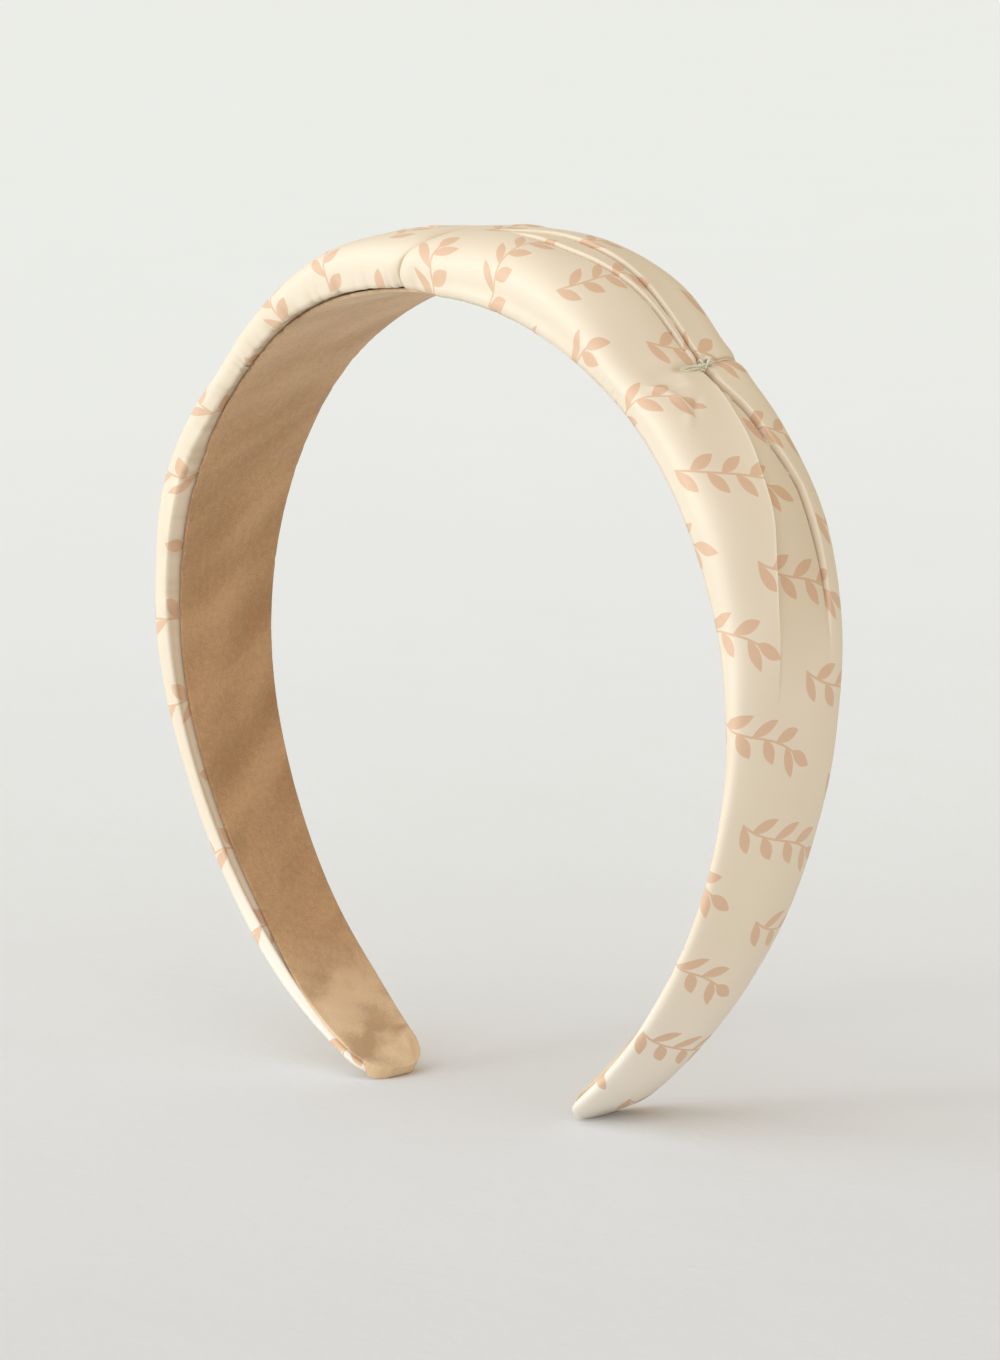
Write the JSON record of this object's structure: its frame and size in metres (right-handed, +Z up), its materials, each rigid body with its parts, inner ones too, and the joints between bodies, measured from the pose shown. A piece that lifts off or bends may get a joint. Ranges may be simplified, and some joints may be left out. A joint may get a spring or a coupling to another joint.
{
  "type": "padded hair band",
  "caption": "Padded satin headband pinched by thread ties, with a springy core and a suede lining, standing on its two tips.",
  "frame": {"origin": "on the ground, midway between the two tips", "axes": "+X from the left tip to the right tip, +Y across the band from its front edge to its back edge, +Z up to the crown"},
  "size_m": [0.1436, 0.034, 0.1502],
  "materials": {
    "core": "satin",
    "foam": "open cell foam",
    "satin": "soft satin with a printed sprig motif",
    "suede": "brushed faux suede",
    "thread": "twisted cotton thread"
  },
  "bodies": {
    "root": {"spring_core": "core", "foam_pad": "foam", "satin_cover": "satin", "suede_lining": "suede", "crown_tie": "thread", "left_tie": "thread", "right_tie": "thread", "left_tack": "thread", "right_tack": "thread"}
  },
  "joints": []
}
